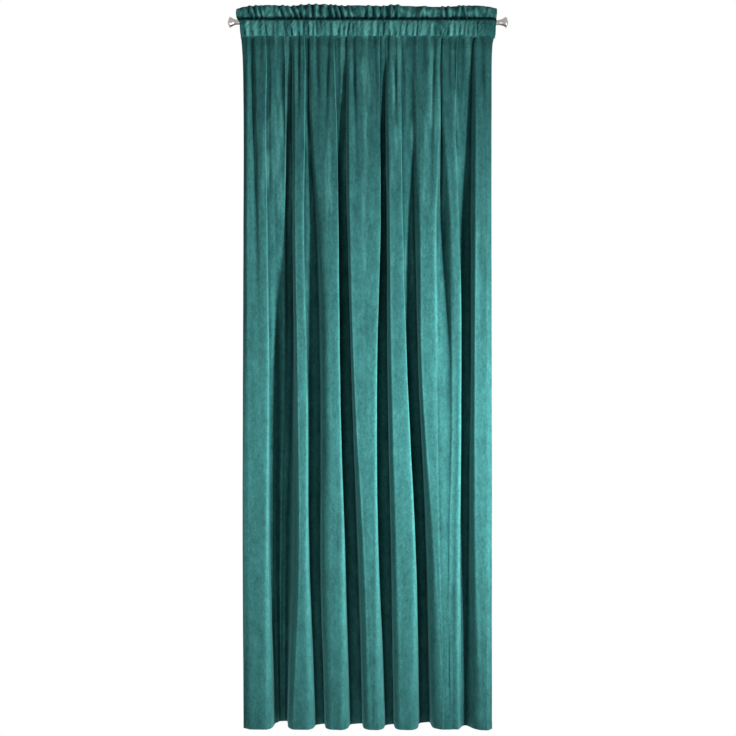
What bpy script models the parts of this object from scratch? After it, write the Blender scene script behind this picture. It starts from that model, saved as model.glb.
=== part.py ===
"""Velvet rod pocket drape hanging from a slim curtain rod with a trumpet at each end.

Row frame: the origin is on the rod's axis, half way along it. +X runs along the rod, +Y points
back to the wall and +Z up. The drape faces -Y.
"""

import math

import bpy
import numpy as np

NAME = "velvet drape"
MM = 0.001

# Cloth, cut 1.44 m wide
CLOTH_THICK = 0.0016
HEM_Z = -2.4355
LOWER_SEAM_Z = -0.0455
CLOTH_STRIPS = 75          # lengthwise strips of cloth between two columns of points

# Rod and its ends
ROD_RADIUS = 0.008
ROD_WALL = 0.001
ROD_HALF_LENGTH = 0.440
ROUND_STEPS = 48

# Heights at which the folds are placed, from the heading to the hem, and how far in front of the
# rod's axis the foremost cloth hangs at each   (m, mm)
LEVELS = (-0.130, -0.370, -0.730, -1.245, -1.865, HEM_Z)
FRONT = (13, 17, 25, 38, 44, 46)

# One row per fold, left to right, with the valley on its right. At each of the LEVELS: where its
# face begins and ends, how far the face hangs behind the foremost cloth, where the valley runs and
# how deep it is. Then how gently its left side rises and its right side falls.
# name, left, right, crest, valley, depth, soft, ease   (mm)
FOLDS = (
    ("a", (-412, -415, -413, -411, -405, -400), (-352, -354, -347, -341, -341, -328),
     (3, 3, 3, 6, 8, 12), (-340, -340, -334, -328, -325, -314), (10, 12, 26, 72, 84, 88), 10, 6),
    ("under_a", (-325, -325, -320, -312, -312, -308), (-286, -286, -290, -292, -302, -303),
     (6, 8, 30, 82, 92, 95), (-266, -268, -265, -270, -286, -288), (27, 33, 64, 93, 98, 98), 8, 8),
    ("b", (-250, -250, -250, -242, -236, -254), (-218, -220, -221, -208, -203, -187),
     (3, 3, 3, 6, 8, 12), (-206, -203, -184, -170, -170, -154), (21, 25, 42, 66, 70, 70), 8, 6),
    ("c", (-174, -165, -142, -129, -126, -122), (-117, -109, -101, -96, -79, -68),
     (3, 3, 3, 6, 8, 10), (-76, -77, -72, -58, -40, -22), (20, 36, 62, 74, 76, 75), 26, 6),
    ("d", (-60, -63, -60, -46, -12, 6), (38, 41, 43, 30, 37, 55),
     (2, 2, 2, 5, 8, 9), (57, 60, 65, 67, 78, 88), (18, 36, 58, 70, 70, 68), 9, 6),
    ("e", (79, 77, 76, 83, 100, 114), (113, 113, 121, 137, 165, 173),
     (2, 2, 2, 5, 8, 9), (155, 152, 160, 177, 202, 212), (13, 16, 44, 66, 86, 87), 12, 8),
    ("f", (182, 183, 184, 188, 231, 252), (240, 244, 232, 238, 248, 262),
     (2, 2, 3, 6, 8, 12), (252, 256, 258, 280, 276, 282), (20, 28, 34, 14, 10, 13), 13, 12),
    ("f_right", (270, 270, 290, 304, 293, 295), (306, 301, 318, 320, 318, 319),
     (3, 3, 3, 6, 9, 13), (360, 356, 356, 356, 346, 338), (26, 34, 56, 60, 56, 54), 12, 6),
    ("g", (376, 374, 371, 366, 371, 388), (404, 405, 406, 406, 407, 408),
     (2, 2, 2, 3, 4, 6), (), (), 8, 0),
)
# The two selvedges: where they hang and how far back   (mm)
LEFT_EDGE = ((-432, -431, -430, -430, -430, -429), (16, 18, 18, 14, 14, 28))
RIGHT_EDGE = ((427, 426, 425, 425, 425, 426), (6, 5, 6, 8, 11, 22))
# How much longer the rising side of a fold gets towards the hem
SIDE_GROWTH = (1.0, 1.0, 1.0, 1.0, 1.7, 2.6)
SIDE_SHARE = 0.28          # how far down its rise that side is sharpest
SHOULDER_DROP = 1.5
# How far a falling side tucks in under its edge, per mm of depth, and how far back that edge is
# rounded off, in mm
TUCK_UNDER = (0.16, 0.16, 0.13, 0.12, 0.08, 0.0)
EDGE_ROUND = (0.0, 0.0, 1.0, 2.0, 8.0, 20.0)
DEEP_FOLD = 70.0
SEAM_DEPTH = 0.40          # share of their depth that the folds keep at the lower seam

# Heights of the rows of points below the heading, from the hem up
BODY_ROWS = (HEM_Z, -2.200, -1.900, -1.600, -1.300, -1.030,
             -0.800, -0.600, -0.430, -0.290, -0.180, -0.110, -0.066)

# The heading, one row per line along it: up the front, over the top and down the back.
# The pleats swell the pocket away from the rod and wave the frill; sway is how much of the folds
# is left, and the last two columns are the heading's ends. The pocket ends short of the collars
# of the rod's ends, and the frill reaches out over them.
# z, y, swell, wave, sway, left, right   (mm)
HEADING = (
    (-36.0, -9.0, 5.0, 0.0, 0.3, -441, 440),
    (-20.0, -12.5, 7.0, 0.0, 0.0, -441, 441),
    (-6.0, -12.5, 6.0, 0.0, 0.0, -443, 442),
    (4.0, -12.4, 3.0, 0.0, 0.0, -439, 439),
    (10.5, -2.2, 0.0, 0.3, 0.0, -439, 439),
    (15.5, -3.2, 0.0, 0.5, 0.0, -453, 445),
    (42.0, -4.6, 0.0, 1.0, 0.0, -457, 446),
    (58.0, -3.2, 0.0, 1.1, 0.0, -456, 446),
    (64.0, 0.0, 0.0, 1.1, 0.0, -455, 445),
    (58.0, 3.2, 0.0, 1.1, 0.0, -456, 446),
    (42.0, 4.6, 0.0, 1.0, 0.0, -457, 446),
    (15.5, 3.2, 0.0, 0.5, 0.0, -453, 445),
    (10.5, 2.2, 0.0, 0.3, 0.0, -439, 439),
    (4.0, 12.4, -2.0, 0.0, 0.0, -439, 439),
    (-11.0, 12.6, -3.0, 0.0, 0.0, -442, 441),
    (-30.0, 8.0, -1.5, 0.0, 0.3, -441, 440),
    (-45.5, 2.4, 0.0, 0.0, 1.0, -441, 440),
    (-53.0, 2.8, 0.0, 0.0, 1.0, -440, 439),
)
UPPER_SEAM = 10.5          # height of the seam between pocket and frill, in mm
FRILL_TOP = 64.0
PLEAT_DEPTH = 10.0         # from crest to tuck of a pleat of the frill, in mm
PLEAT_FRONT = 3.5          # how much of that stands in front
TUCK_BACK = 6.0            # how far a pleat sets back the cloth below the heading
TUCK_REACH = 0.32          # how far down it does so, in m

# Top edge of the frill: place along the rod and height   (mm)
FRILL_EDGE = (
    (-457, 50), (-420, 58), (-345, 63), (-275, 60), (-165, 65), (-90, 60), (-45, 62), (50, 59),
    (95, 64), (160, 59), (265, 57), (320, 60), (367, 61), (420, 57), (446, 52),
)

# Finial outline out from the rod's end: distance along the rod and radius, in mm
FINIAL_OUTLINE = (
    (45.7, 0.0),
    (45.2, 3.5),
    (43.2, 9.0),
    (40.6, 14.8),
    (38.9, 18.0),
    (37.7, 19.1),
    (36.2, 19.5),
    (34.6, 19.1),
    (31.5, 17.1),
    (27.0, 14.2),
    (21.0, 11.5),
    (14.0, 9.6),
    (8.0, 8.7),
    (4.2, 8.4),
    (3.2, 9.4),
    (0.8, 9.5),
    (0.3, 9.0),
    (0.3, 6.7),
    (-23.5, 6.7),
    (-25.0, 5.6),
    (-25.0, 0.0),
)


def clear_scene():
    """Remove everything a new file starts with."""
    for thing in list(bpy.data.objects):
        bpy.data.objects.remove(thing, do_unlink=True)


def new_collection(name):
    """Add a collection to the scene."""
    collection = bpy.data.collections.new(name)
    bpy.context.scene.collection.children.link(collection)
    return collection


def new_material(name, colour, roughness, metallic):
    """Make a Principled material."""
    material = bpy.data.materials.new(name)
    material.use_nodes = True
    shader = material.node_tree.nodes["Principled BSDF"]
    shader.inputs["Base Color"].default_value = (*colour, 1.0)
    shader.inputs["Roughness"].default_value = roughness
    shader.inputs["Metallic"].default_value = metallic
    material.diffuse_color = (*colour, 1.0)
    return material


def new_object(name, verts, faces, edges, material, collection):
    """Add a mesh object with one material."""
    mesh = bpy.data.meshes.new(name)
    mesh.from_pydata(verts, edges, faces)
    mesh.materials.append(material)
    thing = bpy.data.objects.new(name, mesh)
    collection.objects.link(thing)
    return thing


def along_levels(values, z):
    """Smooth curve through one value per level, read at height z."""
    depths = [-level for level in LEVELS]
    depth = min(max(-z, depths[0]), depths[-1])
    i = min(max(int(np.searchsorted(depths, depth)) - 1, 0), len(depths) - 2)
    t = (depth - depths[i]) / (depths[i + 1] - depths[i])
    before = values[max(i - 1, 0)]
    after = values[min(i + 2, len(values) - 1)]
    start, end = values[i], values[i + 1]
    slope_in = (end - before) / 2
    slope_out = (after - start) / 2
    return ((2 * t ** 3 - 3 * t ** 2 + 1) * start + (t ** 3 - 2 * t ** 2 + t) * slope_in
            + (3 * t ** 2 - 2 * t ** 3) * end + (t ** 3 - t ** 2) * slope_out)


def fade(t):
    """1 at t = 0, falling smoothly to 0 at t = 1."""
    t = min(max(t, 0.0), 1.0)
    return 1 - t * t * (3 - 2 * t)


def fold_lines():
    """Lines down the cloth that shape its folds, each as (along, back) with a value per level.

    A fold has a side where it rises out of the valley on its left, a shoulder, a brow and an edge
    where it turns away, a foot tucked in under that edge, and the valley on its right.
    """
    lines = [LEFT_EDGE]
    last_valley = None
    for _, *columns, soft, ease in FOLDS:
        left, right, crest, valley, depth = (np.array(column, float) for column in columns)
        if last_valley is not None:
            run = np.minimum(soft * np.array(SIDE_GROWTH), 0.72 * (left - last_valley))
            lines.append((left - run, crest + SIDE_SHARE * (last_depth - crest)))
        lines.append((left, crest + SHOULDER_DROP))
        drop = depth - crest if len(valley) > 0 else np.zeros(len(LEVELS))
        rounding = np.minimum(EDGE_ROUND, 0.3 * drop)
        lines.append((right - np.minimum(2.0 + 1.1 * rounding, 0.45 * (right - left)), crest))
        lines.append((right - 0.1 * rounding, crest + 0.9 * rounding))
        if len(valley) > 0:
            share = 0.50 + 0.35 * np.minimum(drop / DEEP_FOLD, 1.0)
            lines.append((right + ease - np.array(TUCK_UNDER) * drop, crest + share * drop))
            lines.append((valley, depth))
        last_valley, last_depth = valley, depth
    lines.append(RIGHT_EDGE)
    return np.array(lines, float)


def column_places(lines):
    """Where the columns of points lie, counted in lines; a wide strip has some inside it too."""
    gaps = np.hypot(*np.diff(lines, axis=0).transpose(1, 0, 2)).max(axis=1)
    counts = np.ones(len(gaps), int)
    while counts.sum() < CLOTH_STRIPS:
        counts[np.argmax(gaps / counts)] += 1
    inside = [i + np.arange(count) / count for i, count in enumerate(counts)]
    return np.append(np.concatenate(inside), len(gaps))


def pleat_shares(count):
    """0 on the crest of a pleat and 1 in its tuck, by turns and unevenly."""
    number = np.arange(count)
    return 0.5 - 0.5 * np.cos(np.pi * number) * (0.75 + 0.25 * np.sin(2.4 * number))


def section(lines, columns, pleats, z):
    """Plan of the cloth at height z: how far along and how far back each column is, in mm."""
    below = max(LOWER_SEAM_Z - z, 0.0)
    opening = SEAM_DEPTH + (1 - SEAM_DEPTH) * (1 - fade(below / 0.16))
    at_level = along_levels(lines.transpose(2, 0, 1), z)
    number = np.arange(len(lines))
    along = np.interp(columns, number, at_level[:, 0])
    back = np.interp(columns, number, at_level[:, 1]) * opening
    across = (along - along[0]) / (along[-1] - along[0])
    along -= 14.0 * math.exp(-below / 0.045) * (1 - across) ** 3
    along += 16.0 * math.exp(-below / 0.022) * across ** 3
    back -= along_levels(FRONT, z) * (0.15 + 0.85 * (1 - fade((below + 0.004) / 0.06)))
    back += TUCK_BACK * pleats * fade(below / TUCK_REACH) * opening
    return along, back


def cloth_rows():
    """Rows of points of the whole length of velvet, from the hem up, over and down the back."""
    lines = fold_lines()
    columns = column_places(lines)
    pleats = pleat_shares(len(columns))
    rows = []
    for z in (*BODY_ROWS, LOWER_SEAM_Z):
        along, back = section(lines, columns, pleats, z)
        rows.append(np.column_stack([along, back, np.full(len(along), z / MM)]))
    seam_along, seam_back = rows[-1][:, 0], rows[-1][:, 1]
    across = (seam_along - seam_along[0]) / (seam_along[-1] - seam_along[0])
    even = np.linspace(0.0, 1.0, len(across))
    edge_at, edge_top = np.array(FRILL_EDGE, float).T
    for number, (z, y, swell, wave, sway, left, right) in enumerate(HEADING):
        spread = min((number + 1) / 4, (len(HEADING) - number) / 4, 1.0) * 0.85
        along = left + (right - left) * (across + (even - across) * spread)
        back = y - swell * (1 - pleats) + wave * (pleats * PLEAT_DEPTH - PLEAT_FRONT)
        back = back + sway * seam_back
        rise = min(max((z - UPPER_SEAM) / 50.0, 0.0), 1.0)
        height = z + rise * (np.interp(along, edge_at, edge_top) - FRILL_TOP)
        rows.append(np.column_stack([along, back, height]))
    return np.array(rows) * MM


def make_drape(material, collection):
    """The velvet, as one sheet with its top turned over to the back."""
    rows = cloth_rows()
    high, wide = rows.shape[:2]
    faces = []
    for j in range(high - 1):
        for i in range(wide - 1):
            a = j * wide + i
            faces.append((a, a + 1, a + wide + 1, a + wide))
    drape = new_object("velvet_drape", rows.reshape(-1, 3).tolist(), faces, [], material,
                       collection)
    sheet = drape.modifiers.new("thickness", "SOLIDIFY")
    sheet.thickness = CLOTH_THICK
    sheet.offset = 0.0
    return drape


def lathe(name, outline, material, collection):
    """Turn an outline of (radius, height) about Z."""
    verts = [(radius, 0.0, height) for radius, height in outline]
    edges = [(i, i + 1) for i in range(len(outline) - 1)]
    thing = new_object(name, verts, [], edges, material, collection)
    screw = thing.modifiers.new("turn", "SCREW")
    screw.axis = "Z"
    screw.steps = ROUND_STEPS
    screw.render_steps = ROUND_STEPS
    screw.use_merge_vertices = True
    screw.merge_threshold = 0.00001
    screw.use_smooth_shade = True
    return thing


def make_rod(material, collection):
    """The rod, a plain round tube open at both ends."""
    inner = ROD_RADIUS - ROD_WALL
    outline = [
        (ROD_RADIUS, ROD_HALF_LENGTH),
        (ROD_RADIUS, -ROD_HALF_LENGTH),
        (inner, -ROD_HALF_LENGTH),
        (inner, ROD_HALF_LENGTH),
        (ROD_RADIUS, ROD_HALF_LENGTH),
    ]
    rod = lathe("curtain_rod", outline, material, collection)
    rod.rotation_euler = (0.0, math.radians(90), 0.0)
    return rod


def make_finial(name, side, material, collection):
    """One trumpet with the plug that fits in the rod; side is -1 at the left and 1 at the right."""
    outline = [(radius * MM, (ROD_HALF_LENGTH / MM + along) * MM)
               for along, radius in FINIAL_OUTLINE]
    finial = lathe(name, outline, material, collection)
    finial.rotation_euler = (0.0, math.radians(90 * side), 0.0)
    return finial


def main():
    """Build the drape, the rod and the rod's two ends."""
    clear_scene()
    parts = new_collection(NAME)
    velvet = new_material("velvet", (0.018, 0.115, 0.112), 0.9, 0.0)
    nickel_rod = new_material("rod_nickel", (0.42, 0.42, 0.41), 0.3, 1.0)
    nickel_finial = new_material("finial_nickel", (0.50, 0.49, 0.47), 0.22, 1.0)
    make_drape(velvet, parts)
    make_rod(nickel_rod, parts)
    make_finial("finial_left", -1, nickel_finial, parts)
    make_finial("finial_right", 1, nickel_finial, parts)


main()
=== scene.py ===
"""Velvet rod pocket drape on a slim nickel curtain rod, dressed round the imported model.

The row frame has its origin on the rod's axis, half way along it. +X runs along the rod, +Y points
back to the wall and +Z up, so the pile side of the velvet faces -Y.
"""

import logging
import math
from dataclasses import dataclass, field
from enum import Enum

import bpy
import numpy as np
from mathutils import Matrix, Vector, noise


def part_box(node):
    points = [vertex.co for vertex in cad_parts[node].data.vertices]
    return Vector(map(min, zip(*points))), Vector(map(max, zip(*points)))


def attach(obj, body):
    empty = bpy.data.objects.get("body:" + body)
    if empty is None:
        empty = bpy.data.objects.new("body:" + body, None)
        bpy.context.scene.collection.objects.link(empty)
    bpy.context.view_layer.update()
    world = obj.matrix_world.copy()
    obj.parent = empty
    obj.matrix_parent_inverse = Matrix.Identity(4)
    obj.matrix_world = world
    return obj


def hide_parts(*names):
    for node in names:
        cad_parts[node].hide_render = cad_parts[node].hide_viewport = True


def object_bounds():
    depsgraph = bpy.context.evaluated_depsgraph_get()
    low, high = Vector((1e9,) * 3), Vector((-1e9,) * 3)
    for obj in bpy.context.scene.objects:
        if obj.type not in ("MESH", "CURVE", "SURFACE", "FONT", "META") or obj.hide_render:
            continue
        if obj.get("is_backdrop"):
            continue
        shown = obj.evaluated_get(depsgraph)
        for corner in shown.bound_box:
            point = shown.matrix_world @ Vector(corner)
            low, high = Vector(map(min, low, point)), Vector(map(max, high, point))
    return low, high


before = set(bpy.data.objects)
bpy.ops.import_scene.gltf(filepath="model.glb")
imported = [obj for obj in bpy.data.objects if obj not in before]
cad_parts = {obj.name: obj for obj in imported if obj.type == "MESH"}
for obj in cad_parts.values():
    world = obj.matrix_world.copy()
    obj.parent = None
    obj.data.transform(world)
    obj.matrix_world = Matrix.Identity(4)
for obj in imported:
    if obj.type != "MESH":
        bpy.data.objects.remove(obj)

MM = 0.001
LOG = logging.getLogger("velvet_drape")

Colour = tuple[float, float, float]
Values = float | list | tuple | np.ndarray
Socket = bpy.types.NodeSocket
Feed = bpy.types.NodeSocket | float | tuple


# Node graphs

class Graph:
    """A node tree with short calls for adding nodes and joining them."""

    def __init__(self, tree: bpy.types.NodeTree) -> None:
        """Work on one tree.

        Args:
            tree: the material's, world's or group's node tree.
        """
        self.tree = tree

    def node(self, kind: str, values: dict | None = None, **settings: object) -> bpy.types.Node:
        """Add a node.

        Args:
            kind: the node's type name in Blender.
            values: input name or number to its value, or to the output socket that feeds it.
            settings: properties of the node itself.

        Returns:
            The new node.
        """
        made = self.tree.nodes.new(kind)
        for name, value in settings.items():
            setattr(made, name, value)
        for name, value in (values or {}).items():
            if isinstance(value, bpy.types.NodeSocket):
                self.tree.links.new(value, made.inputs[name])
            else:
                made.inputs[name].default_value = value
        return made

    def math(self, operation: str, a: Feed, b: Feed = 0.0, clamp: bool = False) -> Socket:
        """Add a Math node and return its output socket."""
        made = self.node("ShaderNodeMath", {0: a, 1: b}, operation=operation, use_clamp=clamp)
        return made.outputs[0]

    def ramp(self, value: Feed, low: float, high: float, to_low: float = 0.0,
             to_high: float = 1.0) -> Socket:
        """Map a range to another, smoothly and clamped.

        Args:
            value: the socket to read.
            low: input that gives to_low.
            high: input that gives to_high.
            to_low: lowest output.
            to_high: highest output.

        Returns:
            The mapped value's socket.
        """
        made = self.node("ShaderNodeMapRange", {"Value": value, "From Min": low, "From Max": high,
                                                "To Min": to_low, "To Max": to_high},
                         interpolation_type="SMOOTHSTEP")
        return made.outputs["Result"]

    def blend(self, share: Feed, first: Feed, second: Feed, mode: str = "MIX") -> Socket:
        """Mix two colours.

        Args:
            share: how much of the second there is.
            first: a colour, or the socket that feeds it.
            second: the same.
            mode: how they mix.

        Returns:
            The mixed colour's socket.
        """
        made = self.node("ShaderNodeMix", data_type="RGBA", blend_type=mode)
        for socket, value in ((made.inputs[0], share), (made.inputs[6], first),
                              (made.inputs[7], second)):
            if isinstance(value, bpy.types.NodeSocket):
                self.tree.links.new(value, socket)
            else:
                socket.default_value = value
        return made.outputs[2]

    def noise(self, vector: Socket, scale: float, detail: float = 3.0,
              roughness: float = 0.5) -> Socket:
        """Add a Noise Texture and return its factor."""
        made = self.node("ShaderNodeTexNoise", {"Vector": vector, "Scale": scale,
                                                "Detail": detail, "Roughness": roughness})
        return made.outputs["Fac"]

    def stretched(self, vector: Socket, scale: tuple[float, float, float]) -> Socket:
        """Scale a texture vector along each axis."""
        made = self.node("ShaderNodeMapping", {"Vector": vector, "Scale": scale})
        return made.outputs["Vector"]


def new_group(name: str, inputs: tuple, outputs: tuple) -> tuple[bpy.types.NodeTree, Graph]:
    """Make an empty shader node group.

    Args:
        name: the group's name.
        inputs: rows of socket name, socket type and default value.
        outputs: rows of socket name and socket type.

    Returns:
        The group's tree, and a Graph to fill it with.
    """
    tree = bpy.data.node_groups.new(name, "ShaderNodeTree")
    for label, kind, default in inputs:
        socket = tree.interface.new_socket(label, in_out="INPUT", socket_type=kind)
        socket.default_value = default
    for label, kind in outputs:
        tree.interface.new_socket(label, in_out="OUTPUT", socket_type=kind)
    return tree, Graph(tree)


class Effect(Enum):
    """Effects that more than one material uses, each a node group."""

    DYE = "dye_variation"
    HANDLING = "metal_handling"


class EffectLibrary:
    """Builds each shared effect once and places it in materials."""

    def __init__(self) -> None:
        """Build the groups."""
        self.groups = {Effect.DYE: self._dye(), Effect.HANDLING: self._handling()}

    @staticmethod
    def _dye() -> bpy.types.NodeTree:
        """Uneven dye: slow clouds, lengthwise streaks, mottling and a fine speckle.

        Returns:
            The node group.
        """
        tree, g = new_group(
            "dye_variation",
            (("Colour", "NodeSocketColor", (0.5, 0.5, 0.5, 1.0)),
             ("Clouds", "NodeSocketFloat", 0.2),
             ("Streaks", "NodeSocketFloat", 0.2),
             ("Mottle", "NodeSocketFloat", 0.1),
             ("Speckle", "NodeSocketFloat", 0.1)),
            (("Colour", "NodeSocketColor"), ("Mask", "NodeSocketFloat")))
        start = g.node("NodeGroupInput")
        place = g.node("ShaderNodeTexCoord").outputs["Object"]
        total = 0.0
        for label, scale, detail, roughness in (("Clouds", (34.0, 34.0, 20.0), 5.0, 0.72),
                                                ("Streaks", (70.0, 70.0, 6.0), 3.0, 0.6),
                                                ("Mottle", (120.0, 120.0, 62.0), 3.0, 0.68),
                                                ("Speckle", (190.0, 190.0, 190.0), 2.0, 0.7)):
            grain = g.noise(g.stretched(place, scale), 1.0, detail, roughness)
            part = g.math("MULTIPLY", g.math("SUBTRACT", grain, 0.5), start.outputs[label])
            total = g.math("ADD", part, total)
        gain = g.math("ADD", total, 1.0)
        grey = g.node("ShaderNodeCombineColor", {0: gain, 1: gain, 2: gain})
        colour = g.blend(1.0, start.outputs["Colour"], grey.outputs[0], "MULTIPLY")
        g.node("NodeGroupOutput", {"Colour": colour, "Mask": g.math("ADD", total, 0.5)})
        return tree

    @staticmethod
    def _handling() -> bpy.types.NodeTree:
        """Faint turning marks and smudges on plated metal.

        Returns:
            The node group.
        """
        tree, g = new_group(
            "metal_handling",
            (("Roughness", "NodeSocketFloat", 0.2),
             ("Smudges", "NodeSocketFloat", 0.1),
             ("Marks", "NodeSocketFloat", 0.1)),
            (("Roughness", "NodeSocketFloat"), ("Height", "NodeSocketFloat")))
        start = g.node("NodeGroupInput")
        place = g.node("ShaderNodeTexCoord").outputs["Object"]
        smudge = g.noise(place, 60.0, 4.0, 0.6)
        marks = g.noise(g.stretched(place, (2600.0, 20.0, 20.0)), 1.0, 2.0, 0.5)
        rough = g.math("MULTIPLY", g.math("SUBTRACT", smudge, 0.45), start.outputs["Smudges"])
        rough = g.math("ADD", rough, start.outputs["Roughness"])
        height = g.math("MULTIPLY", marks, start.outputs["Marks"])
        g.node("NodeGroupOutput", {"Roughness": rough, "Height": height})
        return tree

    def place(self, graph: Graph, effect: Effect, **values: Feed) -> bpy.types.Node:
        """Place an effect in a material.

        Args:
            graph: the material's graph.
            effect: which effect.
            values: the group's inputs by name.

        Returns:
            The group node.
        """
        made = graph.node("ShaderNodeGroup", node_tree=self.groups[effect])
        for name, value in values.items():
            socket = made.inputs[name]
            if isinstance(value, bpy.types.NodeSocket):
                graph.tree.links.new(value, socket)
            else:
                socket.default_value = value
        return made


# Finishes

def rgba(colour: Colour) -> tuple[float, float, float, float]:
    """Add full alpha to a colour."""
    return (*colour, 1.0)


def new_material(name: str) -> tuple[bpy.types.Material, Graph, bpy.types.Node]:
    """Make a node material.

    Args:
        name: the material's name.

    Returns:
        The material, its graph and its Principled BSDF.
    """
    material = bpy.data.materials.new(name)
    material.use_nodes = True
    return material, Graph(material.node_tree), material.node_tree.nodes["Principled BSDF"]


@dataclass(frozen=True)
class VelvetFinish:
    """Short dense velvet pile with a matt woven back.

    Pile stands open over a rounded fold and shows its lit tips; it closes in a hollow and shows
    the deep colour between the tips. The sheet carries that as an attribute, which also paints a
    highlight on crests and shade in hollows, near the hem, under the heading and in the groove
    above the pocket. A second attribute holds how far the pile has been brushed the other way,
    which makes it paler, and also the painted highlight on the puffs of the pocket.
    """

    name: str = "teal_velvet"
    # Colour of the closed pile, which also stands in as painted shade in hollows and bands
    deep: Colour = (0.0065, 0.044, 0.0465)
    open_pile: Colour = (0.044, 0.196, 0.187)
    # Paler colour of brushed pile, also used as the painted highlight on the pocket's puffs
    brushed_and_highlit_pile: Colour = (0.110, 0.400, 0.370)
    woven_back: Colour = (0.020, 0.115, 0.112)
    sheen_tint: Colour = (0.42, 1.0, 0.97)
    sheen: float = 0.34
    sheen_roughness: float = 0.42
    roughness: float = 0.88
    pile_depth: float = 0.00035
    crush_depth: float = 0.0011
    # How much the bend of the cloth opens the pile, painting highlight on crests and shade in
    # hollows
    bend_gain: float = 0.0030

    def material(self, effects: EffectLibrary) -> bpy.types.Material:
        """Build the material.

        Args:
            effects: the shared effects.

        Returns:
            The velvet.
        """
        material, g, shader = new_material(self.name)
        place = g.node("ShaderNodeTexCoord").outputs["Object"]
        # Bend attribute: open pile over crests, with painted highlight on crests and painted shade
        # in hollows
        pile_open_and_painted_light = g.node("ShaderNodeAttribute", attribute_name="pile_open_and_painted_light").outputs["Fac"]
        crush = g.noise(g.stretched(place, (26.0, 26.0, 9.0)), 1.0, 4.0, 0.6)
        lay = g.noise(g.stretched(place, (60.0, 60.0, 18.0)), 1.0, 3.0, 0.6)
        shown = g.math("ADD", pile_open_and_painted_light, g.math("MULTIPLY", g.math("SUBTRACT", crush, 0.5), 0.55))
        shown = g.math("ADD", shown, g.math("MULTIPLY", g.math("SUBTRACT", lay, 0.5), 0.35),
                       clamp=True)
        pile = g.blend(shown, rgba(self.deep), rgba(self.open_pile))
        # Brushed pile, and the painted highlight on the puffs of the pocket
        brushed_and_highlit = g.node("ShaderNodeAttribute", attribute_name="pile_brushed_and_highlit").outputs["Fac"]
        pile = g.blend(brushed_and_highlit, pile, rgba(self.brushed_and_highlit_pile))
        dyed = effects.place(g, Effect.DYE, Colour=pile, Clouds=0.55, Streaks=0.45, Mottle=0.95,
                             Speckle=0.90)
        behind = g.node("ShaderNodeNewGeometry").outputs["Backfacing"]
        colour = g.blend(behind, dyed.outputs["Colour"], rgba(self.woven_back))
        tips = g.noise(place, 1400.0, 2.0, 0.6)
        fine = g.node("ShaderNodeBump", {"Height": tips, "Distance": self.pile_depth,
                                         "Strength": 0.55})
        pressed = g.noise(g.stretched(place, (55.0, 55.0, 22.0)), 1.0, 4.0, 0.62)
        bump = g.node("ShaderNodeBump", {"Height": pressed, "Distance": self.crush_depth,
                                         "Strength": 0.8, "Normal": fine.outputs["Normal"]})
        g.tree.links.new(colour, shader.inputs["Base Color"])
        g.tree.links.new(bump.outputs["Normal"], shader.inputs["Normal"])
        shader.inputs["Roughness"].default_value = self.roughness
        shader.inputs["Specular IOR Level"].default_value = 0.05
        shader.inputs["Sheen Weight"].default_value = self.sheen
        shader.inputs["Sheen Roughness"].default_value = self.sheen_roughness
        shader.inputs["Sheen Tint"].default_value = rgba(self.sheen_tint)
        return material


@dataclass(frozen=True)
class ThreadFinish:
    """Matching sewing thread."""

    name: str = "teal_thread"
    colour: Colour = (0.018, 0.105, 0.102)
    roughness: float = 0.6

    def material(self, effects: EffectLibrary) -> bpy.types.Material:
        """Build the material.

        Args:
            effects: the shared effects.

        Returns:
            The thread.
        """
        material, g, shader = new_material(self.name)
        dyed = effects.place(g, Effect.DYE, Colour=rgba(self.colour), Clouds=0.1, Streaks=0.0,
                             Mottle=0.0, Speckle=0.5)
        place = g.node("ShaderNodeTexCoord").outputs["Object"]
        twist = g.node("ShaderNodeTexWave", {"Vector": place, "Scale": 900.0},
                       bands_direction="DIAGONAL")
        bump = g.node("ShaderNodeBump", {"Height": twist.outputs["Fac"], "Distance": 0.0001,
                                         "Strength": 0.5})
        g.tree.links.new(dyed.outputs["Colour"], shader.inputs["Base Color"])
        g.tree.links.new(bump.outputs["Normal"], shader.inputs["Normal"])
        shader.inputs["Roughness"].default_value = self.roughness
        return material


@dataclass(frozen=True)
class NickelFinish:
    """Nickel plate, satin or polished."""

    name: str
    colour: Colour
    roughness: float
    smudges: float
    marks: float

    def material(self, effects: EffectLibrary) -> bpy.types.Material:
        """Build the material.

        Args:
            effects: the shared effects.

        Returns:
            The plated metal.
        """
        material, g, shader = new_material(self.name)
        place = g.node("ShaderNodeTexCoord").outputs["Object"]
        tarnish = g.ramp(g.noise(place, 35.0, 3.0, 0.5), 0.35, 0.75)
        dark = tuple(part * 0.82 for part in self.colour)
        colour = g.blend(tarnish, rgba(self.colour), rgba(dark))
        handled = effects.place(g, Effect.HANDLING, Roughness=self.roughness,
                                Smudges=self.smudges, Marks=self.marks)
        bump = g.node("ShaderNodeBump", {"Height": handled.outputs["Height"], "Distance": 0.00004,
                                         "Strength": 0.6})
        g.tree.links.new(colour, shader.inputs["Base Color"])
        g.tree.links.new(handled.outputs["Roughness"], shader.inputs["Roughness"])
        g.tree.links.new(bump.outputs["Normal"], shader.inputs["Normal"])
        shader.inputs["Metallic"].default_value = 1.0
        return material


# Meshes

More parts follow.
